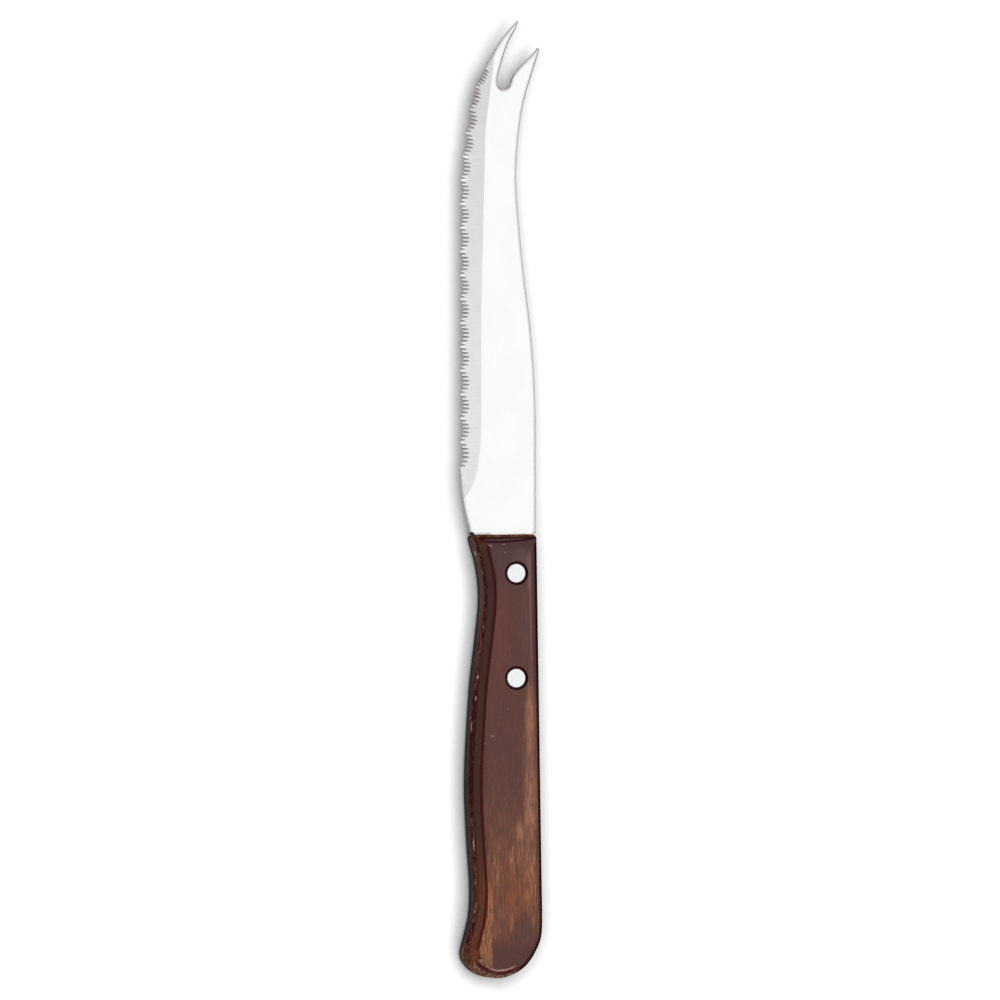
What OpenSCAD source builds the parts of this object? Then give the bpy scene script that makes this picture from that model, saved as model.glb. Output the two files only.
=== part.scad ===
// Cheese knife with a forked, scalloped blade and a riveted wooden handle.
// It lies on its side: the blade runs along +Y, the spine faces +X and the serrated
// face looks along +Z. The origin is on the flat underside, at the middle of the handle.

/* [Handle] */
// Length of the handle, from its front face to the butt
handle_l = 90.5; // [80:0.1:110]
// Greatest breadth of the handle, across the blade
handle_w = 15.7; // [14.5:0.1:20]
// Thickness of the two wooden scales together
handle_t = 10; // [8:0.1:12]
// Radius that rounds the long edges of the scales
edge_r = 1.8; // [1:0.1:2.4]
// Length along the handle of the rounding at its front end
front_round_l = 2.1; // [1:0.1:3]
// Radius of the upright corners at the front end
front_corner_r = 1; // [0.3:0.1:1.4]
// How much farther forward the front face is at the back of the handle than at the belly
front_skew = 0.3; // [0:0.05:1]
// Angle at which the back of the handle leans away from the line of the blade's spine
back_flare = 0.9; // [0:0.02:1.5]

/* [Blade] */
// Length of the blade, from the handle to the point of the long tine
blade_l = 105; // [95:0.5:120]
// Breadth of the blade, from its straight spine to the cutting edge
blade_w = 15.85; // [14.5:0.05:18]
// Thickness of the plate that the blade and tang are stamped from
blade_t = 1.3; // [1:0.05:1.8]
// How far the blade's spine stands proud of the back of the handle
spine_step = 0.6; // [0.1:0.05:1]
// How far the heel stands proud of the belly of the handle
heel_step = 0.05; // [0:0.05:0.6]
// Length of the plain heel between the handle and the scallops
heel_l = 13.9; // [10:0.1:18]
// Length of the straight part of the spine, from the handle forward
straight_spine_l = 21; // [10:0.5:30]
// How far the waist of the blade dips in from the line of the spine
waist_depth = 4.13; // [2:0.1:5]

/* [Fork] */
// Radius of the round root between the two tines
gap_r = 1.45; // [0.8:0.05:1.8]
// Distance from the point of the long tine back to the bottom of the gap
gap_depth = 14.15; // [11:0.1:18]
// Distance from the line of the spine to the middle of the gap's root
gap_inset = 6.65; // [6:0.1:8]
// Distance from the point of the long tine back to the point of the short one
short_tine_back = 5.5; // [3:0.1:7]
// How far the point of the short tine flares out past the line of the spine
short_tine_flare = 0.6; // [0:0.05:1]
// Breadth of the blunt point of the short tine
short_tip_w = 0.5; // [0.3:0.05:0.8]

/* [Grind] */
// Thickness that the grind leaves at the cutting edge
edge_t = 0.35; // [0.2:0.05:0.5]
// Breadth of the ground bevel near the heel
bevel_w_heel = 4.35; // [3:0.1:6]
// Breadth of the ground bevel where it turns in towards the fork
bevel_w_toe = 5.25; // [4.5:0.05:7]
// Angle at which the bevel turns in towards the fork
toe_turn = 7.3; // [3:0.1:9]
// Radius at which the bevel first bends towards the edge at the heel
heel_bend_r = 46; // [30:1:80]
// Angle through which it bends before it runs out
heel_bend = 12.6; // [5:0.1:20]
// Radius of the run-out that the grinding wheel leaves at the heel
runout_r = 11; // [9:0.5:20]

/* [Serration] */
// Length of one scallop along the edge
scallop_pitch = 4.88; // [3.5:0.02:7]
// Depth of a scallop
scallop_depth = 0.62; // [0.3:0.02:1.2]
// Number of fine grooves ground across each scallop
grooves_per_scallop = 6; // [3:1:7]
// Length of a groove across the bevel
groove_l = 1.4; // [0.8:0.05:2]
// Depth of a groove at the edge
groove_depth = 0.18; // [0.1:0.01:0.3]
// Radius of the grinding profile that cuts a groove
groove_r = 0.3; // [0.25:0.01:0.5]

/* [Tang] */
// Length of the tang inside the handle
tang_l = 37; // [34:0.5:60]
// Breadth of the tang, from the back of the handle inwards
tang_w = 8.8; // [8:0.1:9.4]
// Radius of the tang's inner end corner
tang_end_r = 3; // [1:0.1:4]
// Space between the tang and the scales on each face of the plate
tang_fit = 0.02; // [0:0.01:0.1]
// Space at the tang's hidden edge and end, and at the blade's shoulders
tang_clearance = 0.1; // [0.05:0.05:0.5]

/* [Rivets] */
// Distance from the front face of the handle to the first rivet
rivet_back = 7.85; // [6:0.05:12]
// Distance between the two rivets
rivet_pitch = 21.4; // [16:0.1:23]
// Distance from the line of the blade's spine to the line of the rivets
rivet_inset = 5.2; // [4.8:0.1:5.8]
// Diameter of a rivet's head
head_d = 4; // [3.6:0.1:4.5]
// Thickness of a rivet's head
head_t = 1; // [0.6:0.1:1.4]
// Breadth of the small chamfer round a head
head_chamfer = 0.15; // [0.05:0.05:0.3]
// Diameter of the hollow shank of the female half
tube_d = 3; // [2.6:0.1:3.4]
// Diameter of the pin of the male half
pin_d = 1.9; // [1.4:0.1:2.1]
// Space round a head in its sunk seat, on the diameter
seat_clearance = 0.9; // [0.1:0.1:1]
// How far a head lies below the face of the scale
head_sink = 0.2; // [0:0.05:0.8]
// Space round a shank in the wood and in the tang, on the diameter
shank_clearance = 0.1; // [0.05:0.05:0.3]
// Space between the pin and the bore that it is pressed into, on the diameter
press_clearance = 0.02; // [0:0.01:0.05]
// Space left at the ends of the pin and the tube when the rivet is closed
end_clearance = 0.3; // [0.1:0.1:0.6]

/* [Hidden] */
$fn = 48;

// One overrun for every cut that passes through a face
over = 1;
// Longest step along an outline, and the bend between two steps in degrees
long_step = 3;
bend_step = 4;
// Rings that shape the rounded edge of a scale, and steps round an upright corner
round_rings = 7;
corner_steps = 4;
// Steps along one scallop and round the root of the gap
scallop_steps = 8;
root_steps = 12;

// Smooth curve through a list of points
function unit(v) = v / norm(v);
function chord(p, i) = norm(p[i + 1] - p[i]);
function rise(p, i) = (p[i + 1] - p[i]) / chord(p, i);
function tangent(p, i) =
    i == 0 ? rise(p, 0) :
    i == len(p) - 1 ? rise(p, i - 1) :
    (rise(p, i) * chord(p, i - 1) + rise(p, i - 1) * chord(p, i)) / (chord(p, i - 1) + chord(p, i));
function bend(p, i) = acos(min(1, unit(tangent(p, i)) * unit(tangent(p, i + 1))));
function steps_in(p, i) = max(1, ceil(bend(p, i) / bend_step), ceil(chord(p, i) / long_step));
function blend(p, i, t) =
    p[i] * (2 * pow(t, 3) - 3 * pow(t, 2) + 1)
    + p[i + 1] * (3 * pow(t, 2) - 2 * pow(t, 3))
    + tangent(p, i) * chord(p, i) * (pow(t, 3) - 2 * pow(t, 2) + t)
    + tangent(p, i + 1) * chord(p, i) * (pow(t, 3) - pow(t, 2));
function curve(p) = [
    for (i = [0:len(p) - 2], j = [0:steps_in(p, i) - 1]) blend(p, i, j / steps_in(p, i)),
    p[len(p) - 1]
];
function without_first(p) = [for (i = [1:len(p) - 1]) p[i]];
// Point at a share of the way across and a share of the way along, from a towards b
function between(a, b, s) = [a[0] + s[0] * (b[0] - a[0]), a[1] + s[1] * (b[1] - a[1])];

// Outline of the grip. Shares are of the length back from the front face and of the
// breadth out from the middle, along the belly and round the hooked butt to the back.
belly_shares = [
    [0, -0.417], [0.058, -0.319], [0.092, -0.28], [0.14, -0.259], [0.228, -0.303],
    [0.33, -0.375], [0.431, -0.416], [0.567, -0.449], [0.69, -0.42], [0.804, -0.379],
    [0.838, -0.383], [0.872, -0.408], [0.931, -0.496]
];
butt_shares = [
    [0.945, -0.51], [0.961, -0.49], [0.981, -0.4], [1, -0.1], [0.9895, 0.128],
    [0.9713, 0.276], [0.944, 0.389], [0.908, 0.475], [0.893, 0.486]
];
// The two points inside the grip from which its front and its rear outline are in view
front_hub_shares = [0.23, 0.21];
rear_hub_shares = [0.667, 0.21];
back_front_share = 0.4115;
back_shares = [0.865, 0.8, 0.5, 0.046];

front_middle_y = handle_l / 2;
function front_y(x) = front_middle_y + front_skew * x / handle_w;
function along_y(share) = handle_l * (1 / 2 - share);
function grip_point(s) = [s[1] * handle_w, along_y(s[0])];
back_x = back_front_share * handle_w;
function back_line_x(y) = back_x + (front_middle_y - y) * tan(back_flare);
function back_point(share) = [back_line_x(along_y(share)), along_y(share)];

belly_x = belly_shares[0][1] * handle_w;
front_belly = [belly_x, front_y(belly_x)];
front_back = [back_x, front_y(back_x)];
grip_side = concat(
    [front_belly],
    curve(concat(
        [for (s = without_first(belly_shares)) grip_point(s)],
        [for (s = butt_shares) grip_point(s)],
        [back_point(back_shares[0]), back_point(back_shares[1])]
    )),
    [back_point(back_shares[2]), back_point(back_shares[3]), front_back]
);

// Inward direction at a point of the grip's side
function inward(p, i) =
    let (d = unit(p[min(i + 1, len(p) - 1)] - p[max(i - 1, 0)]))
    [-d[1], d[0]];
// Sharp front corner, drawn in by d from the side and by back from the front face
function front_corner(p, i, next, d, back) =
    let (n = inward(p, i), b = unit(p[next] - p[i]))
    p[i] + d * n + b * (back + d * n[1]) / -b[1];
// Rounded corner at c between the directions a and b
function corner_arc(c, a, b, r) = [
    for (k = [0:corner_steps])
        let (t = 90 * k / corner_steps)
        c + r * (a * (1 - sin(t)) + b * (1 - cos(t)))
];
// The grip's outline drawn in by d, which shapes one level of the rounded edge
function grip_ring(d) =
    let (
        p = grip_side,
        last = len(p) - 1,
        back = front_round_l * d / edge_r,
        r = front_corner_r * (1 - d / edge_r / 2),
        belly_corner = front_corner(p, 0, 1, d, back),
        back_corner = front_corner(p, last, last - 1, d, back),
        across = unit(back_corner - belly_corner)
    )
    concat(
        corner_arc(belly_corner, across, unit(p[1] - p[0]), r),
        [for (i = [1:last - 1]) p[i] + d * inward(p, i)],
        corner_arc(back_corner, unit(p[last - 1] - p[last]), -across, r)
    );

// Outline of the tang, or of its pocket when gap draws it out and past opens it
function tang_outline(gap, past_front, past_back) =
    let (
        end_y = front_middle_y - tang_l - gap,
        inner_x = back_x - tang_w - gap,
        steps = 2 * corner_steps
    )
    concat(
        [
            [back_line_x(front_middle_y) + past_back, front_y(back_x) + past_front],
            [back_line_x(end_y) + past_back, end_y]
        ],
        [
            for (k = [0:steps])
                let (t = 90 * k / steps)
                [inner_x + tang_end_r * (1 - sin(t)), end_y + tang_end_r * (1 - cos(t))]
        ],
        [[inner_x, front_y(inner_x) + past_front]]
    );

// Places of the blade across and along the knife
spine_x = back_x + spine_step;
edge_x = spine_x - blade_w;
heel_x = belly_x - heel_step;
heel_y = front_y(heel_x);
tip_y = front_middle_y + blade_l;
half_t = blade_t / 2;

// Plain heel. Shares are of its draw-in to the handle and of its length.
heel_shares = [
    [0.85, 0.141], [0.59, 0.286], [0.375, 0.435], [0.23, 0.583], [0.15, 0.75], [0.07, 0.9]
];
heel_end = [edge_x, heel_y + heel_l];
heel_side = curve(concat(
    [[heel_x, heel_y]],
    [for (s = heel_shares) between([edge_x, heel_y], [heel_x, heel_y + heel_l], s)],
    [heel_end]
));

// Cutting edge and outer side of the long tine, from the heel to the point. Shares are
// of the blade's breadth in from the spine and of its length out from the handle.
edge_shares = [
    [1, 0.4], [1, 0.645], [0.996, 0.693], [0.963, 0.739], [0.921, 0.784], [0.869, 0.83],
    [0.793, 0.873]
];
last_tooth_share = [0.662, 0.908];
tine_shares = [
    [0.53, 0.943], [0.447, 0.963], [0.342, 0.982], [0.275, 0.993], [0.24, 0.9985]
];
point_share = [0.23, 1];
function blade_point(s) = [spine_x - s[0] * blade_w, front_middle_y + s[1] * blade_l];
edge_path = curve(concat(
    [heel_end],
    [for (s = concat(edge_shares, [last_tooth_share], tine_shares)) blade_point(s)]
));

// Distance run along the edge path, and the path looked up by that distance
function run(p, i) = i < len(p) ? norm(p[i] - p[i - 1]) : 0;
edge_run = [for (i = 0, s = 0; i < len(edge_path); i = i + 1, s = s + run(edge_path, i)) s];
run_to_x = [for (i = [0:len(edge_path) - 1]) [edge_run[i], edge_path[i][0]]];
run_to_y = [for (i = [0:len(edge_path) - 1]) [edge_run[i], edge_path[i][1]]];
y_to_run = [for (i = [0:len(edge_path) - 1]) [edge_path[i][1], edge_run[i]]];
function edge_at(s) = [lookup(s, run_to_x), lookup(s, run_to_y)];

// Whole scallops are shared out over the toothed length. The first runs out a little
// farther at the heel, and the last two fade away towards the fork.
first_length_share = 1.08;
last_length_share = 0.87;
fade_shares = [[0, 0.15], [1, 0.55], [2, 1]];
toothed_l = lookup(blade_point(last_tooth_share)[1], y_to_run);
scallops = round(toothed_l / scallop_pitch);
pitch = toothed_l / (scallops - 2 + first_length_share + last_length_share);
function tooth_run(k) =
    k == 0 ? 0 : k == scallops ? toothed_l : (first_length_share + k - 1) * pitch;
function scallop_run(k, u) = tooth_run(k) + u * (tooth_run(k + 1) - tooth_run(k));
function edge_inward(s) =
    let (d = unit(edge_at(s + pitch / 4) - edge_at(s - pitch / 4)))
    [d[1], -d[0]];
// How far along its arc a share u of the way through is ground, compared with the middle
function arc_share(u) = 1 - pow(2 * u - 1, 2);
// Point on the edge at a share u of the way through scallop k
function scallop_at(k, u) =
    let (s = scallop_run(k, u), depth = scallop_depth * lookup(scallops - 1 - k, fade_shares))
    edge_at(s) + edge_inward(s) * depth * arc_share(u);

// Fork. The gap's sides run from the points of the tines to its round root.
long_point = blade_point(point_share);
short_point = [spine_x + short_tine_flare, tip_y - short_tine_back];
short_tip_shares = [0.4, -0.9];
short_heel = short_point + short_tip_w * short_tip_shares;
root = [spine_x - gap_inset, tip_y - gap_depth + gap_r];
root_end = 352;
root_arc = [
    for (k = [0:root_steps])
        let (t = 180 + (root_end - 180) * k / root_steps)
        root + gap_r * [cos(t), sin(t)]
];
long_side_shares = [
    [0.03, 0.04], [0.09, 0.095], [0.17, 0.155], [0.414, 0.304], [0.609, 0.467], [0.754, 0.623],
    [0.892, 0.786], [0.98, 0.903]
];
short_side_shares = [[0.09, 0.2], [0.24, 0.36], [0.46, 0.55], [0.68, 0.72], [0.9, 0.894]];
long_side = curve(concat(
    [long_point], [for (s = long_side_shares) between(long_point, root_arc[0], s)], [root_arc[0]]
));
short_side = curve(concat(
    [root_arc[root_steps]],
    [for (s = short_side_shares) between(root_arc[root_steps], short_point, s)],
    [short_point]
));

// Spine. Shares are of the waist's depth and of the run from the short tine to the
// straight part.
spine_shares = [
    [0.133, 0.053], [0.588, 0.131], [0.898, 0.236], [1, 0.34], [0.847, 0.458], [0.593, 0.59],
    [0.283, 0.72], [0.077, 0.851], [0.01, 0.94]
];
straight_end = [spine_x, front_middle_y + straight_spine_l];
spine_side = curve(concat(
    [short_heel],
    [
        for (s = spine_shares)
            between([spine_x, short_heel[1]], [spine_x - waist_depth, straight_end[1]], s)
    ],
    [straight_end]
));

blade_outline = concat(
    [[heel_x, heel_y + tang_clearance]],
    without_first(heel_side),
    [for (k = [0:scallops - 1], j = [1:scallop_steps]) scallop_at(k, j / scallop_steps)],
    [for (i = [0:len(edge_path) - 1]) if (edge_run[i] > toothed_l + groove_r) edge_path[i]],
    long_side,
    without_first(root_arc),
    without_first(short_side),
    spine_side,
    [[spine_x, front_y(spine_x) + tang_clearance]],
    tang_outline(0, tang_clearance, 0)
);

// Grind. Its limit on the face bends in from the edge at the heel, runs straight along the
// blade and then turns away from the edge twice.
start_share = 0.212;
widening_share = 0.437;
turn_share = 0.79;
runout_reach_share = 0.75;
bevel_start = [edge_x + bevel_w_heel, front_middle_y + start_share * blade_l];
bevel_widening = [edge_x + bevel_w_heel, front_middle_y + widening_share * blade_l];
bevel_turn = [edge_x + bevel_w_toe, front_middle_y + turn_share * blade_l];
bevel_lean = atan((bevel_turn[0] - bevel_widening[0]) / (bevel_turn[1] - bevel_widening[1]));
bevel_angle = atan((blade_t - edge_t) / 2 / bevel_w_toe);
heel_bend_middle = bevel_start - [heel_bend_r, 0];
function past_line(p, start, lean) = (p - start) * [-cos(lean), sin(lean)];
function past_start(p) =
    p[1] < bevel_start[1] ? heel_bend_r - norm(p - heel_bend_middle) : bevel_start[0] - p[0];
// Half of the blade's thickness left by the grind at a point of the edge
function ground_half_t(p) =
    half_t - tan(bevel_angle) * max(
        0, past_start(p), past_line(p, bevel_widening, bevel_lean), past_line(p, bevel_turn, toe_turn)
    );

// Section of what the wheel removes, reaching w past the bevel's line
function wheel_section(line_x, w) = [
    [line_x + over, half_t + over * tan(bevel_angle)],
    [line_x + over, half_t + 2 * over],
    [line_x - w, half_t + 2 * over],
    [line_x - w, half_t - w * tan(bevel_angle)]
];

module wheel_pass(start, lean, forward, backward) {
    translate([start[0], start[1], 0])
        rotate([0, 0, -lean])
            translate([0, forward, 0])
                rotate([90, 0, 0])
                    linear_extrude(height = forward + backward)
                        polygon(wheel_section(0, blade_w));
}

module wheel_runout() {
    translate([heel_bend_middle[0], heel_bend_middle[1], 0]) {
        rotate_extrude(angle = heel_bend, start = 360 - heel_bend)
            polygon(wheel_section(heel_bend_r, blade_w));
        rotate([0, 0, -heel_bend])
            translate([heel_bend_r - runout_r, 0, 0])
                rotate_extrude(angle = 180, start = 180)
                    polygon(wheel_section(runout_r, runout_r * runout_reach_share));
    }
}

module grind() {
    wheel_pass(bevel_start, 0, blade_l, 0);
    wheel_pass(bevel_widening, bevel_lean, blade_l / 2, (bevel_widening[1] - bevel_start[1]) / 2);
    wheel_pass(bevel_turn, toe_turn, blade_l / 2, blade_l / 2);
    wheel_runout();
}

// One fine groove, ground across the bevel at a share u of the way through scallop k.
// The plain land at the front of each tooth lies between the last groove and the next first.
groove_tilt = atan(groove_depth / groove_l + tan(bevel_angle));
first_groove_share = 0.06;
last_groove_share = 0.865;
end_depth_share = 0.62;
function groove_share(j) =
    first_groove_share + (last_groove_share - first_groove_share) * j / (grooves_per_scallop - 1);
function groove_depth_at(u) = groove_depth * (end_depth_share + (1 - end_depth_share) * arc_share(u));
module groove(k, u) {
    foot = scallop_at(k, u);
    n = edge_inward(scallop_run(k, u));
    translate([foot[0], foot[1], ground_half_t(foot) - groove_depth_at(u)])
        rotate([0, 0, atan2(n[1], n[0])])
            rotate([0, 90 - groove_tilt, 0])
                translate([-groove_r, 0, -over])
                    cylinder(h = over + 2 * groove_l, r = groove_r);
}

rivet_x = spine_x - rivet_inset;
rivet_ys = [front_middle_y - rivet_back, front_middle_y - rivet_back - rivet_pitch];
module at_rivet(i) {
    translate([rivet_x, rivet_ys[i], handle_t / 2]) children();
}

module blade() {
    color("gainsboro")
        difference() {
            translate([0, 0, handle_t / 2])
                difference() {
                    linear_extrude(height = blade_t, center = true)
                        polygon(blade_outline);
                    grind();
                    mirror([0, 0, 1])
                        grind();
                    for (k = [0:scallops - 1], j = [0:grooves_per_scallop - 1])
                        groove(k, groove_share(j));
                }
            for (i = [0, 1])
                at_rivet(i)
                    cylinder(h = blade_t + over, d = tube_d + shank_clearance, center = true);
        }
}

// Half of the grip from the glue line upwards: upright side, rounded edge and flat face
module grip_half() {
    levels = [
        [0, 0],
        for (k = [0:round_rings])
            let (t = 90 * k / round_rings)
            [edge_r * (1 - cos(t)), handle_t / 2 - edge_r + edge_r * sin(t)]
    ];
    rings = [for (l = levels) [for (q = grip_ring(l[0])) [q[0], q[1], l[1]]]];
    n = len(rings[0]);
    sides = [
        for (k = [0:len(rings) - 2], i = [0:n - 1])
            let (a = k * n + i, b = k * n + (i + 1) % n)
            each [[a, a + n, b + n], [a, b + n, b]]
    ];
    upper = (len(rings) - 1) * n;
    hubs = [grip_point(front_hub_shares), grip_point(rear_hub_shares)];
    lower_hub = len(rings) * n;
    upper_hub = lower_hub + len(hubs);
    switch_y = (hubs[0][1] + hubs[1][1]) / 2;
    side_of = [for (i = [0:n - 1]) rings[0][i][1] + rings[0][(i + 1) % n][1] > 2 * switch_y ? 0 : 1];
    caps = [
        for (i = [0:n - 1])
            let (j = (i + 1) % n, h = side_of[i], g = side_of[(i + n - 1) % n])
            each concat(
                [[i, j, lower_hub + h], [upper + j, upper + i, upper_hub + h]],
                h == g ? [] : [[lower_hub + g, i, lower_hub + h], [upper_hub + h, upper + i, upper_hub + g]]
            )
    ];
    points = concat(
        [for (ring = rings, q = ring) q],
        [for (z = [0, handle_t / 2], m = hubs) [m[0], m[1], z]]
    );
    polyhedron(points, concat(sides, caps), convexity = 6);
}

seat_depth = head_sink + head_t;
module scale_half() {
    difference() {
        grip_half();
        translate([0, 0, -over])
            linear_extrude(height = over + half_t + tang_fit)
                polygon(tang_outline(tang_clearance, over, over));
        for (y = rivet_ys)
            translate([rivet_x, y, 0]) {
                cylinder(h = handle_t, d = tube_d + shank_clearance);
                translate([0, 0, handle_t / 2 - seat_depth])
                    cylinder(h = seat_depth + over, d = head_d + seat_clearance);
            }
    }
}

module upper_scale() {
    color("sienna")
        translate([0, 0, handle_t / 2])
            scale_half();
}

module lower_scale() {
    color("saddlebrown")
        translate([0, 0, handle_t / 2])
            mirror([0, 0, 1])
                scale_half();
}

// Rivet halves. Each head lies in its seat and the pin is pressed into the tube.
shank_l = handle_t - 2 * seat_depth - end_clearance;
head_outline = [
    [head_d / 2, 0], [head_d / 2, head_t - head_chamfer], [head_d / 2 - head_chamfer, head_t], [0, head_t]
];

module rivet_female() {
    bore_d = pin_d + press_clearance;
    color("silver")
        translate([0, 0, handle_t / 2 - seat_depth])
            rotate_extrude()
                polygon(concat(
                    [[0, 0], [bore_d / 2, 0], [bore_d / 2, -shank_l], [tube_d / 2, -shank_l], [tube_d / 2, 0]],
                    head_outline
                ));
}

module rivet_male() {
    color("silver")
        mirror([0, 0, 1])
            translate([0, 0, handle_t / 2 - seat_depth])
                rotate_extrude()
                    polygon(concat([[0, -shank_l], [pin_d / 2, -shank_l], [pin_d / 2, 0]], head_outline));
}

module front_rivet_female() {
    at_rivet(0) rivet_female();
}

module front_rivet_male() {
    at_rivet(0) rivet_male();
}

module rear_rivet_female() {
    at_rivet(1) rivet_female();
}

module rear_rivet_male() {
    at_rivet(1) rivet_male();
}

blade();
upper_scale();
lower_scale();
front_rivet_female();
front_rivet_male();
rear_rivet_female();
rear_rivet_male();
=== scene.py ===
"""Finishes, light and camera for the cheese knife. Every solid keeps the shape that the CAD gives it."""
import math

import bpy
from mathutils import Matrix, Vector


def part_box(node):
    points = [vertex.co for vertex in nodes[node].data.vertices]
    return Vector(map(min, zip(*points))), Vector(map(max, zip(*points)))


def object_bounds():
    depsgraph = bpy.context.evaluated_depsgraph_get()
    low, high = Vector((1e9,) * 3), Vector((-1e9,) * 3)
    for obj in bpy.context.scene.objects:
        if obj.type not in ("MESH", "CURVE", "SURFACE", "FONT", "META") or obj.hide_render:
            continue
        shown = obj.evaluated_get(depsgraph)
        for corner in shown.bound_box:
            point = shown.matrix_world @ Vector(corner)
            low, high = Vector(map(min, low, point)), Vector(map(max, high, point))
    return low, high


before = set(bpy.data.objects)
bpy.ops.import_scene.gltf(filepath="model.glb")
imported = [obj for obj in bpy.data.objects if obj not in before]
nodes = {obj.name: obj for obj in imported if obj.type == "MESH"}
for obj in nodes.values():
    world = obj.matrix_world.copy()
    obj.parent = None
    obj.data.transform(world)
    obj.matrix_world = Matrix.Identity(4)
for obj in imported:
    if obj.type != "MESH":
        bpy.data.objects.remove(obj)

cad_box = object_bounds()
# Millimetres to the metre
MM = 1000


def millimetres(metres):
    """Millimetres, to the nearest thousandth."""
    return round(metres * MM, 3)


# Places on the knife in millimetres: x across towards the spine, y along towards the tip, z up.
# The origin is half-way along the handle, so the front end is as far from it as the butt
knife_low, knife_high = cad_box
MID_Z = millimetres((knife_low.z + knife_high.z) / 2)
FRONT_Y = millimetres(-knife_low.y)
KNIFE_MIDDLE = millimetres((knife_low.y + knife_high.y) / 2)
# How much farther forward the front end reaches for each millimetre towards the back
FRONT_SKEW = 0.019
# Radius of the round seats that the rivets' heads sit in
SEAT_RADIUS = 2.45

# The photograph: how far the camera leans over the belly side, its scale, and the pixel that the
# middle of the handle is on
LEAN = math.radians(15)
PIXELS_PER_MM = 4.895
PHOTO_PIXELS = 1000
HANDLE_PIXEL = (501.5, 756.16)
# The camera's distance and how far it sees, in metres, and the width of its sensor
CAMERA_AWAY = 3.0
FARTHEST_SEEN = 20
SENSOR_MM = 36.0

# Each kind of place: the white that the lacquer adds to a colour there, and the share of the light
# that reaches it
BARE = (0.0, 1.0)
ON_FLAT = (0.04, 1.0)
ON_BELLY = (0.012, 0.88)
ON_EDGE = (0.0, 0.88)
ON_WALL = (0.0, 0.55)
IN_SEAT = (0.0, 0.3)
ON_SEAT_LIP = (0.0, 0.4)
# No part of a colour is darker than this in linear light
DARKEST = 0.0015

# Noises: cells to the millimetre along x, y and z, detail, roughness and warp. Most of the wood's
# have few cells along the handle, which draws their marks out
BLOTCHES = ((0.8, 0.1, 0.8), 2.0, 0.5, 0.0)
FIBRES = ((3.2, 0.24, 3.2), 2.5, 0.55, 0.0)
HAIRS = ((3.7, 0.36, 3.7), 2.0, 0.5, 0.0)
STRANDS = ((2.8, 0.09, 2.8), 2.0, 0.5, 0.0)
PORES = ((6.5, 1.2, 6.5), 1.0, 0.5, 0.0)
BELLY_MOTTLE = ((1.2, 0.5, 1.2), 3.0, 0.6, 0.3)
WALL_MOTTLE = ((1.6, 0.55, 1.6), 3.0, 0.65, 0.3)
WALL_FLECKS = ((1.8, 0.6, 1.2), 2.0, 0.5, 0.0)
BUTT_MOTTLE = ((1.5, 1.5, 1.5), 3.0, 0.6, 0.3)
ROUGH_END = ((1.2, 1.8, 1.8), 3.0, 0.7, 0.4)
POLISH_LINES = ((0.5, 6.0, 0.5), 3.0, 0.6, 0.0)
STEEL_CLOUDS = ((0.15, 0.1, 0.15), 2.0, 0.5, 0.0)
GROUND_LINES = ((0.3, 3.0, 0.3), 3.0, 0.6, 0.0)
SHEAR_MARKS = ((4.0, 4.0, 0.6), 3.0, 0.6, 0.0)
RIVET_SPECKS = ((2.2, 2.2, 2.2), 3.0, 0.6, 0.0)
# This one's cells are counted out from the rivet's middle, and along x and y
TURNED_LINES = ((14.0, 0.3, 0.3), 2.0, 0.55, 0.0)
# Each scale is cut from another place in the wood
WOOD_DRIFTS = {"upper": (0, 0, 0), "lower": (31, 17, 5)}

# Places on the upper face of the handle: middle, half size and how strong the place is
WORN_PLACES = [
    ((4.7, 8), (1.8, 14), 0.85),
    ((4.8, -9), (2.2, 15), 0.85),
    ((2.6, -17), (1.8, 8), 0.6),
    ((4.8, -25), (2.2, 12), 0.75),
    ((-2.4, -23.5), (1.8, 7), 0.55),
    ((1.0, -21.2), (0.9, 4.5), 0.8),
    ((0.8, -34), (0.7, 3), 0.8),
    ((5.4, -34), (0.7, 3), 0.6),
    ((-3.9, -32), (1.4, 9), 1.0),
    ((-4.6, -40), (3.6, 9), 0.95),
]
# Screen colours of the upper face, each with its places
COLOUR_PLACES = [
    ((122, 77, 60), [((1.5, -27), (4.5, 12), 0.7)]),
    ((122, 83, 69), [((5.4, -2), (2.9, 19), 0.85), ((4.0, -19), (3.4, 9), 0.7)]),
    ((112, 66, 57), [((-1.4, 25), (2.0, 12), 0.4)]),
    ((96, 68, 61), [((3.4, -36), (3.6, 6), 0.9)]),
    ((95, 72, 71), [((3.0, 39), (3.0, 5), 0.9), ((3.6, 27), (1.4, 9), 0.6)]),
    ((86, 57, 53), [((-5.6, 0), (1.8, 14), 0.8), ((-5.2, -17), (1.6, 6), 0.8), ((-4.4, 30), (1.0, 7), 0.5)]),
    ((110, 78, 75), [((5.4, 27), (1.2, 14), 0.9)]),
    ((118, 92, 92), [((4.7, 37.5), (0.9, 6), 0.8)]),
]
# Small pale marks and dents in the upper face
PALE_MARKS = [
    ((-3.7, 43.0), (0.6, 0.45), 0.5),
    ((-0.9, 43.3), (0.7, 0.3), 0.35),
    ((-0.6, 41.6), (0.4, 0.3), 0.2),
    ((-3.25, 4.2), (0.5, 0.3), 0.6),
    ((0.05, 9.8), (0.3, 0.3), 0.2),
    ((-4.8, 2.7), (0.3, 0.3), 0.25),
]
# Painted shadow in the gap where the blade's heel meets the handle, on the wood and on the steel
WOOD_HEEL_SHADE = [((-7.0, 45.2), (0.8, 0.7), 1.0)]
STEEL_HEEL_SHADE = [((-6.45, 45.3), (0.7, 0.7), 1.0)]
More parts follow.
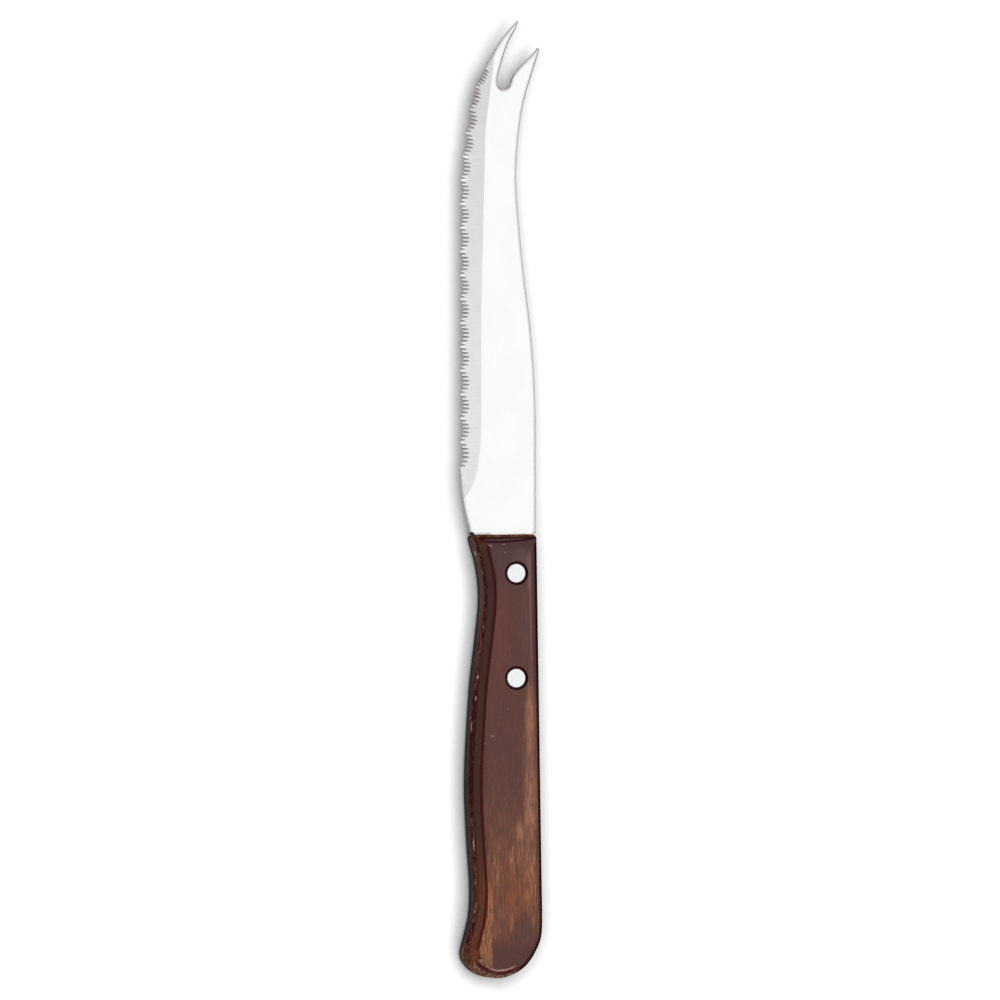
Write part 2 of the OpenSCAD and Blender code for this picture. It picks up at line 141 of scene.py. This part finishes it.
# Places on the belly side, along the handle and up it
PALE_FLECKS = [
    ((41.4, 4.4), (0.9, 0.6), 0.9),
    ((16.2, 7.9), (0.6, 0.8), 1.0),
    ((11.9, 7.8), (0.6, 0.8), 0.9),
    ((7.8, 4.4), (0.5, 0.5), 0.5),
    ((6.1, 5.8), (1.5, 0.6), 0.7),
    ((-18.0, 7.6), (1.9, 0.6), 0.9),
    ((-31.7, 6.6), (0.6, 0.6), 0.6),
]

# Facets that meet at less than this many degrees are shaded as one surface
ROUND_LIMIT = 30
BLADE_FACE_LIMIT = 2.5
# The upright part of a facet's normal, above which the facet counts as part of a flat face
FLAT_FACE = 0.9
# Vertices in the same tenth of a micrometre are one corner
CORNERS_PER_METRE = 1e7

# The floor: its half size in metres, its grey, and how many millimetres from the middle of the
# knife it starts to clear and is clear
FLOOR_HALF = 0.8
FLOOR_GREY = 0.9
FLOOR_CLEARS = (125, 200)
# The knife's shadow on it, painted into its grey by an occlusion node, in millimetres: how far it reaches,
# and how softly it changes between blade and handle and between belly and back
SHADOW_REACH = 8
ALONG_BLUR = 4
ACROSS_BLUR = 2
# The painted shadow beside each part: a level, and the power that the share of open sky is raised to
BESIDE_BLADE = (1.13, 0.52)
BESIDE_BELLY = (1.5, 0.95)
BESIDE_BACK = (1.3, 0.8)
# How strongly the white surroundings light the knife
AMBIENT = 0.2


def linear(level):
    """Linear light of a screen level from 0 to 255, by the standard screen curve."""
    share = level / 255
    return ((share + 0.055) / 1.055) ** 2.4 if share > 0.04045 else share / 12.92


def tone(r, g, b, where=BARE):
    """Linear colour that looks like a screen colour on that kind of place."""
    sheen, light = where
    return tuple(max((linear(level) - sheen) / light, DARKEST) for level in (r, g, b)) + (1.0,)


class Value:
    """A node's output, so that shader sums are written as Python sums."""

    def __init__(self, finish, socket):
        self.finish = finish
        self.socket = socket

    def work_out(self, operation, *parts):
        return self.finish.node("ShaderNodeMath", {"operation": operation}, dict(enumerate(parts)))

    def __add__(self, other):
        return self.work_out("ADD", self, other)

    def __sub__(self, other):
        return self.work_out("SUBTRACT", self, other)

    def __rsub__(self, other):
        return self.work_out("SUBTRACT", other, self)

    def __mul__(self, other):
        return self.work_out("MULTIPLY", self, other)

    def __truediv__(self, other):
        return self.work_out("DIVIDE", self, other)

    def __pow__(self, other):
        return self.work_out("POWER", self, other)

    def __abs__(self):
        return self.work_out("ABSOLUTE", self)

    def most(self, other):
        return self.work_out("MAXIMUM", self, other)

    def least(self, other):
        return self.work_out("MINIMUM", self, other)

    def swing(self):
        """How far a noise is above its middle."""
        return self - 0.5

    __radd__ = __add__
    __rmul__ = __mul__


class Finish:
    """The shader tree of a material or of the world. Each of its nodes is made by node."""

    def __init__(self, owner):
        owner.use_nodes = True
        self.owner = owner
        self.tree = owner.node_tree
        self.tree.nodes.clear()

    def node(self, kind, settings=None, inputs=None, out=0):
        """A new node with its settings, and then the values or links of its sockets."""
        made = self.tree.nodes.new(kind)
        for name, setting in (settings or {}).items():
            setattr(made, name, setting)
        for name, part in (inputs or {}).items():
            if isinstance(part, Value):
                self.tree.links.new(part.socket, made.inputs[name])
            else:
                made.inputs[name].default_value = part
        return Value(self, made.outputs[out]) if made.outputs else None

    def split(self, vector):
        """The x, y and z of a vector."""
        first = self.node("ShaderNodeSeparateXYZ", {}, {0: vector})
        return [Value(self, output) for output in first.socket.node.outputs]

    def place(self):
        """Position on the knife in millimetres."""
        place = self.node("ShaderNodeTexCoord", out="Object")
        return self.node("ShaderNodeVectorMath", {"operation": "MULTIPLY"}, {0: place, 1: (MM,) * 3})

    def facing(self, which):
        """The way the surface faces: Normal with soften's shading, or True Normal facet by facet."""
        return self.node("ShaderNodeNewGeometry", out=which)

    def away(self, x, y, middle, half=(1, 1)):
        """Distance from a middle, with the half size of an oval place as its unit."""
        return (((x - middle[0]) / half[0]) ** 2 + ((y - middle[1]) / half[1]) ** 2) ** 0.5

    def rise(self, value, low, high):
        """0 at low, 1 at high and smooth between. Low may be the larger of the two."""
        return self.node(
            "ShaderNodeMapRange",
            {"interpolation_type": "SMOOTHSTEP"},
            {"Value": value, "From Min": low, "From Max": high},
        )

    def band(self, value, low, high, blur):
        """1 between low and high and 0 outside, with each limit blurred to both sides."""
        return self.rise(value, low - blur, low + blur) * self.rise(value, high + blur, high - blur)

    def grain(self, place, noise, drift=(0, 0, 0)):
        cells, detail, roughness, warp = noise
        stretched = self.node(
            "ShaderNodeVectorMath", {"operation": "MULTIPLY_ADD"}, {0: place, 1: cells, 2: drift}
        )
        return self.node(
            "ShaderNodeTexNoise",
            {},
            {"Vector": stretched, "Scale": 1.0, "Detail": detail, "Roughness": roughness, "Distortion": warp},
        )

    def mix(self, share, a, b):
        return self.node("ShaderNodeMix", {"data_type": "RGBA"}, {0: share, 6: a, 7: b}, 2)

    def mix_value(self, share, a, b):
        return self.node("ShaderNodeMix", {"data_type": "FLOAT"}, {0: share, 2: a, 3: b})

    def layers(self, colour, *layers):
        """The colour under one layer after another. A layer is the share that it covers and its colour."""
        for share, over in layers:
            colour = self.mix(share, colour, over)
        return colour

    def grey(self, level):
        return self.node("ShaderNodeCombineColor", {}, {0: level, 1: level, 2: level})

    def shade(self, colour, level):
        """The colour times a value."""
        multiply = {"data_type": "RGBA", "blend_type": "MULTIPLY"}
        return self.node("ShaderNodeMix", multiply, {0: 1.0, 6: colour, 7: self.grey(level)}, 2)

    def patches(self, x, y, places, core=0.35):
        """How strong the strongest of some oval places is here. Each is whole in the core's share of
        its size and fades out to its rim."""
        total = None
        for middle, half, strength in places:
            spot = self.rise(self.away(x, y, middle, half), 1.0, core) * strength
            total = spot if total is None else total.most(spot)
        return total

    def bump(self, height, depth_mm, strength):
        return self.node(
            "ShaderNodeBump", {}, {"Height": height, "Distance": depth_mm / MM, "Strength": strength}
        )

    def surface(self, **inputs):
        names = {key.replace("_", " "): part for key, part in inputs.items()}
        return self.finish_with(self.node("ShaderNodeBsdfPrincipled", {}, names))

    def finish_with(self, shader, output="ShaderNodeOutputMaterial"):
        self.node(output, {}, {"Surface": shader})
        return self.owner


def flat_wood(f, place, x, y, drift):
    """Plum brown wood, greyer towards the front and worn to tan along the back and at the rear.
    Its fibres and blotches are returned with its colour, for the rest of the finish."""
    blotches = f.grain(place, BLOTCHES, drift)
    fibres = f.grain(place, FIBRES, drift)
    hairs = f.rise(f.grain(place, HAIRS, drift), 0.36, 0.64)
    strands = f.grain(place, STRANDS, drift)
    pores = f.grain(place, PORES, drift)
    calm = f.rise(y, -35.5, -40) * f.rise(x, -3.25, -3.1)
    lively = 1 - calm

    grey_front = f.rise(y, 31, 41), tone(86, 65, 65, ON_FLAT)
    brown_rear = f.rise(y, -2, -21), tone(114, 75, 63, ON_FLAT)
    spots = [(f.patches(x, y, places), tone(*rgb, ON_FLAT)) for rgb, places in COLOUR_PLACES]
    dark_front = f.rise(y, 41.6, 43.4), tone(79, 57, 54, ON_FLAT)
    calm_butt = calm, tone(91, 62, 58, ON_FLAT)
    plum = tone(96, 66, 61, ON_FLAT)
    stained = f.layers(plum, grey_front, brown_rear, *spots, dark_front, calm_butt)

    worn = f.patches(x, y, WORN_PLACES, 0.1) * lively * (0.75 + 0.5 * blotches)
    wear = worn + 0.4 * fibres.swing() + worn * (1.6 * strands + 0.3 * hairs - 0.95)
    orange_rear = f.rise(y, -18, -28), tone(147, 96, 67, ON_FLAT)
    dull_butt = f.rise(y, -37, -42), tone(132, 93, 70, ON_FLAT)
    tan = f.layers(tone(148, 103, 83, ON_FLAT), orange_rear, dull_butt)
    colour = f.mix(f.rise(wear, 0.1, 1.0), stained, tan)

    rear = f.rise(y, 2, -16) * lively
    fine_streaks = (0.1 + 0.5 * rear + 0.25 * worn) * hairs.swing()
    broad_streaks = (0.35 + 0.3 * rear + 0.5 * worn) * fibres.swing()
    long_streaks = 1.5 * f.rise(y, -14, -22) * lively * (1 - worn) * strands.swing()
    streaks = fine_streaks + broad_streaks + long_streaks
    streaked = f.shade(colour, 1 + streaks + 0.3 * blotches.swing())
    dark_pores = f.rise(pores, 0.68, 0.74) * 0.4, tone(56, 32, 30)
    pale_pores = f.rise(pores, 0.27, 0.23) * 0.5, tone(138, 108, 100)
    pale_marks = f.patches(x, y, PALE_MARKS, 0.1), tone(150, 128, 124)
    return f.layers(streaked, dark_pores, pale_pores, pale_marks), fibres, blotches


def belly_wood(f, place, y, slope, fibres, drift):
    """Rounded belly edge with a dark red crease along the flat."""
    mottle = f.grain(place, BELLY_MOTTLE, drift)
    rear = f.rise(y, -12, -31)

    red_rear = rear, tone(93, 53, 41, ON_BELLY)
    red_butt = f.rise(y, -32, -38), tone(103, 59, 45, ON_BELLY)
    mottling = f.rise(mottle, 0.46, 0.56) * rear * 0.7, tone(78, 49, 38, ON_BELLY)
    red_front = f.rise(y, 41.5, 43.5), tone(76, 48, 41, ON_BELLY)
    stained = f.layers(tone(66, 45, 41, ON_BELLY), red_rear, red_butt, mottling, red_front)

    streaks = fibres.swing() * (0.4 + 1.1 * rear)
    lit = 1 + (0.25 - 0.15 * rear) * f.rise(slope, 0.6, 0.95)
    creased = f.band(slope, 0.09, 0.31, 0.06) * f.rise(y, 43.0, 42.4) * f.rise(y, -39.5, -38)
    crease = creased * 0.95, tone(58, 22, 25, ON_EDGE)
    return f.layers(f.shade(stained, (1 + streaks) * lit), crease)


def wall_wood(f, place, y, z, drift):
    """Upright side: dull and greyish low down, then the dark red joint, mottled brown and flecked."""
    mottle = f.grain(place, WALL_MOTTLE, drift)
    flecks = f.grain(place, WALL_FLECKS, drift)
    rear = f.rise(y, -8, -14)

    mottling = f.rise(mottle, 0.35, 0.65), tone(63, 52, 50, ON_WALL)
    brown_front = f.rise(y, 22, 30) * 0.8, tone(76, 58, 54, ON_WALL)
    tan_butt = f.rise(y, -36, -41) * f.rise(mottle, 0.42, 0.54), tone(104, 70, 55, ON_WALL)
    foot = f.rise(z, 3.3, 2.5), tone(42, 38, 39, ON_WALL)
    lower = f.layers(tone(48, 42, 44, ON_WALL), mottling, brown_front, tan_butt, foot)

    more_brown = f.band(y, 14, 29, 4) + rear
    brown = f.rise(mottle + 0.10 * more_brown, 0.55, 0.63), tone(80, 52, 42, ON_WALL)
    dark_flecks = f.rise(flecks, 0.44, 0.38) * f.rise(y, -26, -32), tone(28, 10, 9, ON_WALL)
    flecked = f.rise(flecks, 0.60, 0.66) * (0.45 * f.rise(y, 10, 20) + 0.7 * rear)
    pale_flecks = f.rise(z, 6.2, 6.8) * flecked, tone(140, 112, 98, ON_WALL)
    joint = f.layers(tone(48, 15, 18, ON_WALL), brown, dark_flecks, pale_flecks)

    higher_front = 1.4 * f.rise(y, 24, 33)
    in_joint = f.rise(z - higher_front, 4.6, 5.9)
    large_flecks = f.patches(y, z, PALE_FLECKS, 0.2), tone(160, 138, 128, ON_WALL)
    return f.layers(lower, (in_joint, joint), large_flecks)


def back_wood(f, y, slope, flat):
    """Rounded back edge: the flat's wood runs on over it, shaded darker, with a painted highlight along the
    flat and painted shade that goes dark red and then nearly black where it turns away.
    """
    front = f.rise(y, 9, 19)
    turned = slope - 0.07 * (1 - front)

    # Painted shade: darker plum just past the flat, towards the front
    plum_edge = front * f.rise(slope, 0.07, 0.2), tone(84, 56, 53, ON_FLAT)
    # Painted highlight along the flat's edge
    along_flat = f.band(slope, 0.02, 0.07, 0.02) * front * f.rise(y, 42, 38)
    painted_highlight = along_flat * 0.8, tone(124, 93, 92, ON_FLAT)
    # Painted shade: dark red, then nearly black, as the edge turns away
    red_turn = f.rise(turned, 0.4, 0.5), tone(72, 36, 34, ON_EDGE)
    dark_turn_shade = f.rise(turned, 0.5, 0.62), tone(26, 10, 13, ON_WALL)
    shaded = f.shade(flat, 1 - 0.22 * f.rise(slope, 0.02, 0.25))
    return f.layers(shaded, plum_edge, painted_highlight, red_turn, dark_turn_shade)


def butt_wood(f, place, x, z, slope, drift):
    """Rounded butt: a painted highlight and a dark red band under the flat's edge, then flecked brown.
    Its upright part is grey and, towards the belly, mottled brown."""
    mottle = f.grain(place, BUTT_MOTTLE, drift)

    tan_flecks = f.rise(mottle, 0.42, 0.6), tone(150, 112, 88)
    red_band = f.band(slope, 0.24, 0.66, 0.05), tone(74, 18, 20)
    # Painted highlight along the flat's edge
    along_flat = f.band(slope, 0.05, 0.2, 0.05) * f.band(x, -3.6, 3.2, 1.2)
    painted_highlight = along_flat * 0.85, tone(168, 140, 134)
    mottled = f.mix(f.rise(mottle, 0.40, 0.56), tone(62, 34, 26, ON_WALL), tone(112, 78, 62, ON_WALL))
    to_belly = f.rise(x, -0.5, -2.5) * f.rise(z, 2.5, 4.0)
    upright = f.mix(to_belly, tone(50, 44, 44, ON_WALL), mottled)
    return f.layers(tone(84, 44, 34), tan_flecks, red_band, painted_highlight, (f.rise(slope, 0.86, 0.95), upright))


def front_wood(f, place, x, to_front, front_end, colour, drift):
    """Front end: a raw strip, then a dark red line, a paler band and a second, bowed dark red line."""
    rough = f.grain(place, ROUGH_END, drift)
    ragged = to_front + 0.35 * rough.swing()
    bowed = 1.45 - 0.011 * (x + 2) ** 2

    pale_band = front_end * f.rise(x, -5.4, -4.2), tone(82, 59, 57)
    on_inner_line = f.band(to_front - bowed, -0.17, 0.17, 0.06) * f.rise(x, -5.0, -4.4)
    inner_line = on_inner_line * 0.95, tone(40, 8, 14)
    on_outer_line = f.band(ragged, 0.4, 0.82, 0.06) * f.rise(x, -6.2, -5.2)
    outer_line = on_outer_line * 0.82, tone(48, 13, 16)
    raw = f.mix(f.rise(rough, 0.40, 0.62), tone(60, 28, 22), tone(132, 86, 52))
    return f.layers(colour, pale_band, inner_line, outer_line, (f.rise(ragged, 0.5, 0.4), raw))


def wood(name, drift, rivet_places):
    """Stained, pressed hardwood under lacquer, painted zone by zone round the handle."""
    f = Finish(bpy.data.materials.new(name))
    place = f.place()
    x, y, z = f.split(place)
    nx, ny, nz = f.split(f.facing("Normal"))
    # 0 on a level face and 1 on an upright one, and the way that the slope runs down
    slope = (1 - nz * nz).most(0) ** 0.5
    divisor = slope.most(0.02)
    out_x = nx / divisor
    out_y = ny / divisor
    back = f.rise(out_x, 0.35, 0.6)
    butt = f.rise(out_y, -0.4, -0.7) * (1 - back)
    forward = f.rise(out_y, 0.5, 0.8)
    rounded = f.rise(slope, 0.01, 0.035)
    above_wall = f.rise(z, 8.1, 8.7)

    flat, fibres, blotches = flat_wood(f, place, x, y, drift)
    wall = wall_wood(f, place, y, z, drift)
    belly_side = f.mix(above_wall, wall, belly_wood(f, place, y, slope, fibres, drift))
    butt_side = butt_wood(f, place, x, z, slope, drift)
    back_side = f.mix(f.rise(z, 7.4, 8.1), wall, back_wood(f, y, slope, flat))
    side = f.layers(belly_side, (butt, butt_side), (back, back_side), (forward, flat))
    to_front = FRONT_Y + FRONT_SKEW * x - y
    front_end = f.rise(to_front, 2.1, 1.5)
    colour = front_wood(f, place, x, to_front, front_end, f.mix(rounded, flat, side), drift)

    from_front_rivet, from_rear_rivet = [f.away(x, y, middle) for middle in rivet_places]
    from_rivet = from_front_rivet.least(from_rear_rivet)
    # Painted shade: the flat darkened in a thin band round each rivet's seat
    seat_rim_shade = f.rise(from_rivet, SEAT_RADIUS + 0.2, SEAT_RADIUS) * 0.6, tone(60, 26, 26, ON_FLAT)
    seat = f.rise(from_rivet, SEAT_RADIUS + 0.04, SEAT_RADIUS - 0.04)
    lip = f.rise(abs(z - MID_Z), 4.3, 4.9)
    seat_wall = f.mix(lip, tone(34, 12, 14, IN_SEAT), tone(74, 36, 36, ON_SEAT_LIP))
    # Painted shadow in the gap at the blade's heel
    heel_shade = f.patches(x, y, WOOD_HEEL_SHADE), tone(14, 6, 6)

    on_belly_edge = f.band(slope, 0.38, 0.9, 0.05) * above_wall
    on_side = f.mix_value(back, 0.3 * on_belly_edge, f.rise(slope, 0.5, 0.4))
    lacquer = f.mix_value(rounded * (1 - forward), 1, on_side) * (1 - front_end) * (1 - seat)
    return f.surface(
        Base_Color=f.layers(colour, seat_rim_shade, (seat, seat_wall), heel_shade),
        Roughness=0.5,
        Specular_IOR_Level=0.0,
        Coat_Weight=lacquer,
        Coat_Roughness=0.16,
        Coat_IOR=1.5,
        Normal=f.bump(0.6 * fibres + 0.5 * blotches, 0.05, 0.6),
    )


def steel(name):
    """Polished plate with a ground bevel, fine grooves and a sheared rim, with painted light and shade on the
    grooves, rim line and crest.
    """
    f = Finish(bpy.data.materials.new(name))
    place = f.place()
    x, y, z = f.split(place)
    facet = f.facing("True Normal")
    _, ny, nz = f.split(facet)
    height = abs(z - MID_Z)
    # 1 on the level flat. The bevel, the grooves and the rim are each steeper than the last
    flatness = abs(nz)
    bevel = f.rise(flatness, 0.9990, 0.9968)
    groove = f.rise(flatness, 0.985, 0.965)
    rim = f.rise(flatness, 0.45, 0.25)

    polish = f.grain(place, POLISH_LINES)
    clouds = f.grain(place, STEEL_CLOUDS)
    lines = f.grain(place, GROUND_LINES)
    shear = f.grain(place, SHEAR_MARKS)

    polished = f.mix(f.rise(clouds + 0.3 * polish, 0.45, 0.85), tone(248, 249, 248), tone(251, 251, 251))
    ground = f.mix(f.rise(y, 75, 140), tone(227, 227, 228), tone(218, 217, 218))
    brushed = f.shade(ground, 1 + 0.16 * lines.swing() + 0.1 * clouds.swing())
    # Painted highlight along the crest of the scalloped edge
    painted_edge_highlight = f.rise(height, 0.36, 0.27), tone(241, 240, 240)
    on_bevel = f.layers(brushed, painted_edge_highlight)

    # The rounded normal leaves the facet's own within a millimetre of the plate's rim
    rounded = f.node("ShaderNodeBevel", {"samples": 8}, {"Radius": 1 / MM})
    turned = f.node("ShaderNodeVectorMath", {"operation": "DOT_PRODUCT"}, {0: rounded, 1: facet}, 1)
    to_spine = 0.45 + 0.55 * f.rise(f.split(rounded)[0], -0.05, 0.1)
    near_rim = f.rise(turned, 0.995, 0.95) * f.rise(height, 0.45, 0.6) * to_spine
    # Painted shade: a dark line along the plate's rim, standing in for the dark reflection of its
    # rounded-over edge
    edge = f.mix(f.rise(y, 126, 140), tone(178, 174, 172), tone(160, 155, 153))

    scratched = f.rise(height, 0.5, 0.4) * f.rise(y, 126, 132) * f.rise(lines, 0.46, 0.56)
    scratches = scratched * 0.7, tone(176, 168, 166)
    # Painted light and shade in the grooves: dark on the wall that faces the handle, pale on the other
    groove_lit_and_shaded = f.mix(f.rise(ny, 0.2, -0.35), tone(168, 161, 158), tone(90, 79, 75))
    sheared = f.mix(f.rise(shear, 0.35, 0.7), tone(152, 146, 143), tone(198, 193, 191))
    # Painted shadow in the gap at the blade's heel
    heel_shade = f.patches(x, y, STEEL_HEEL_SHADE, 0.5), tone(16, 10, 10)
    on_faces = f.layers(polished, (bevel, on_bevel), (near_rim, edge), scratches)
    return f.surface(
        Base_Color=f.layers(on_faces, (groove, groove_lit_and_shaded), (rim, sheared), heel_shade),
        Metallic=1.0,
        Roughness=0.16 + 0.05 * polish + 0.2 * bevel + 0.1 * lines * bevel + 0.15 * rim,
        Normal=f.bump(0.15 * polish + bevel * lines + rim * shear, 0.004, 0.5),
    )


def rivet_metal(name, middle):
    """Satin aluminium, turned on the face, with painted shade darkening the steep side of the head in its
    seat.
    """
    f = Finish(bpy.data.materials.new(name))
    place = f.place()
    x, y, _ = f.split(place)
    _, _, nz = f.split(f.facing("Normal"))
    radius = f.away(x, y, middle)
    turning = f.grain(f.node("ShaderNodeCombineXYZ", {}, {0: radius, 1: x, 2: y}), TURNED_LINES)

    dull_ring = (0.855, 0.86, 0.86, 1)
    bright_ring = (0.90, 0.90, 0.90, 1)
    satin = f.mix(f.rise(turning, 0.35, 0.65), dull_ring, bright_ring)
    specks = f.rise(f.grain(place, RIVET_SPECKS), 0.68, 0.74) * 0.35, tone(150, 146, 140)
    # Painted shade on the head's steep side, down in its seat
    seat_gap_shade = f.rise(abs(nz), 0.8, 0.5), tone(60, 48, 46)
    return f.surface(
        Base_Color=f.layers(satin, specks, seat_gap_shade),
        Metallic=1.0,
        Roughness=0.3 + 0.1 * turning,
        Normal=f.bump(turning, 0.003, 0.4),
    )


def soften(node, limit, face_limit):
    """Smooth shading between facets that meet at less than limit degrees. Facets of the flat
    faces meet at less than face_limit, which can keep the line between flat and bevel crisp."""
    mesh = node.data
    bend = math.cos(math.radians(limit))
    face_bend = math.cos(math.radians(face_limit))
    corners = [tuple(round(c * CORNERS_PER_METRE) for c in vertex.co) for vertex in mesh.vertices]
    normals = [polygon.normal.copy() for polygon in mesh.polygons]
    areas = [polygon.area for polygon in mesh.polygons]
    meeting = {}
    for polygon in mesh.polygons:
        polygon.use_smooth = True
        for index in polygon.vertices:
            meeting.setdefault(corners[index], []).append(polygon.index)

    loop_normals = [None] * len(mesh.loops)
    for polygon in mesh.polygons:
        own = normals[polygon.index]
        for loop in polygon.loop_indices:
            total = Vector((0, 0, 0))
            for other in meeting[corners[mesh.loops[loop].vertex_index]]:
                both_flat = abs(own.z) > FLAT_FACE and abs(normals[other].z) > FLAT_FACE
                if own.dot(normals[other]) >= (face_bend if both_flat else bend):
                    total += normals[other] * areas[other]
            loop_normals[loop] = total.normalized() if total.length > 0 else own
    mesh.normals_split_custom_set(loop_normals)


def dress(node, material):
    """Gives the node that material in each of its slots."""
    for slot in node.material_slots:
        slot.material = material


def lamp(name, place, aim, size, radiance, in_reflections):
    """Round lamp of that diameter, which sends out the same radiance from all of its area."""
    area = math.pi / 4 * size * size
    data = bpy.data.lights.new(name, "AREA")
    data.shape = "DISK"
    data.size = size
    data.energy = math.pi * area * radiance
    light = bpy.data.objects.new(name, data)
    light.location = place
    light.rotation_euler = (Vector(aim) - Vector(place)).to_track_quat("-Z", "Y").to_euler()
    light.visible_glossy = in_reflections
    bpy.context.scene.collection.objects.link(light)


def seen_by(f, *rays):
    """1 for a ray of one of these kinds."""
    seen = None
    for ray in rays:
        share = f.node("ShaderNodeLightPath", out=ray)
        seen = share if seen is None else seen.most(share)
    return seen


def white_surroundings():
    """The world is white to the camera and in reflections, and lights the knife at the ambient level."""
    world = bpy.data.worlds.new("surroundings")
    bpy.context.scene.world = world
    f = Finish(world)
    seen = seen_by(f, "Is Camera Ray", "Is Glossy Ray", "Is Transmission Ray")
    strength = AMBIENT + (1 - AMBIENT) * seen
    light = f.node("ShaderNodeBackground", {}, {"Color": (1, 1, 1, 1), "Strength": strength})
    f.finish_with(light, "ShaderNodeOutputWorld")


def table():
    """Plain pale floor. It keeps the knife's shadow, deepened near the knife by painted shadow, and clears to
    white away from it.
    """
    half = FLOOR_HALF
    corners = [(-half, -half, 0), (half, -half, 0), (half, half, 0), (-half, half, 0)]
    mesh = bpy.data.meshes.new("table")
    mesh.from_pydata(corners, [], [(0, 1, 2, 3)])
    floor = bpy.data.objects.new("table", mesh)
    bpy.context.scene.collection.objects.link(floor)

    f = Finish(bpy.data.materials.new("pale_table"))
    x, y, _ = f.split(f.place())
    reach = {"Distance": SHADOW_REACH / MM}
    # Painted shadow: the floor's grey falls with the share of open sky within reach of the knife
    open_sky = f.node("ShaderNodeAmbientOcclusion", {"samples": 16}, reach, "AO")
    parts = (BESIDE_BLADE, BESIDE_BELLY, BESIDE_BACK)
    by_blade, by_belly, by_back = [level * open_sky ** power for level, power in parts]
    by_handle = f.mix_value(f.rise(x, -ACROSS_BLUR, ACROSS_BLUR), by_belly, by_back)
    shadow = f.mix_value(f.rise(y, FRONT_Y + ALONG_BLUR, FRONT_Y - ALONG_BLUR), by_blade, by_handle)
    seen = seen_by(f, "Is Camera Ray")
    level = FLOOR_GREY + seen * (shadow - FLOOR_GREY)
    plain_floor = f.node("ShaderNodeBsdfDiffuse", {}, {"Color": f.grey(level)})
    clear = f.node("ShaderNodeBsdfTransparent")
    cleared = seen * f.rise(f.away(x, y, (0, KNIFE_MIDDLE)), *FLOOR_CLEARS)
    faded = f.node("ShaderNodeMixShader", {}, {0: cleared, 1: plain_floor, 2: clear})
    mesh.materials.append(f.finish_with(faded))


def place_camera():
    """Long lens that leans over the belly side and shows the knife at the photograph's scale."""
    right = Vector((math.cos(LEAN), 0, math.sin(LEAN)))
    up = Vector((0, 1, 0))
    back = right.cross(up)
    middle = PHOTO_PIXELS / 2
    aim = Vector((0, 0, MID_Z))
    aim += right * (middle - HANDLE_PIXEL[0]) / PIXELS_PER_MM
    aim += up * (HANDLE_PIXEL[1] - middle) / PIXELS_PER_MM
    data = bpy.data.cameras.new("camera")
    data.sensor_width = SENSOR_MM
    data.lens = SENSOR_MM * CAMERA_AWAY * MM * PIXELS_PER_MM / PHOTO_PIXELS
    data.clip_end = FARTHEST_SEEN
    camera = bpy.data.objects.new("camera", data)
    camera.location = aim / MM + back * CAMERA_AWAY
    camera.rotation_euler = Matrix((right, up, back)).transposed().to_euler()
    bpy.context.scene.collection.objects.link(camera)
    bpy.context.scene.camera = camera


rivet_places = []
for end in ("front", "rear"):
    for half in ("female", "male"):
        rivet = f"{end}_rivet_{half}"
        low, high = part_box(rivet)
        middle = (low + high) / 2 * MM
        soften(nodes[rivet], ROUND_LIMIT, ROUND_LIMIT)
        dress(nodes[rivet], rivet_metal(f"{end}_{half}_metal", middle))
    rivet_places.append(middle)
for name, drift in WOOD_DRIFTS.items():
    soften(nodes[f"{name}_scale"], ROUND_LIMIT, ROUND_LIMIT)
    dress(nodes[f"{name}_scale"], wood(f"{name}_wood", drift, rivet_places))
soften(nodes["blade"], ROUND_LIMIT, BLADE_FACE_LIMIT)
dress(nodes["blade"], steel("blade_steel"))

white_surroundings()
table()
# The places and sizes of the lamps are in metres
lamp("soft_box", place=(-0.1, 0.05, 1.2), aim=(0, 0.05, 0), size=1.145, radiance=4.05, in_reflections=False)
lamp("butt_light", place=(0.05, -0.5, 0.42), aim=(0, 0, 0), size=0.12, radiance=5.0, in_reflections=True)
place_camera()

bpy.context.scene.view_settings.view_transform = "Standard"
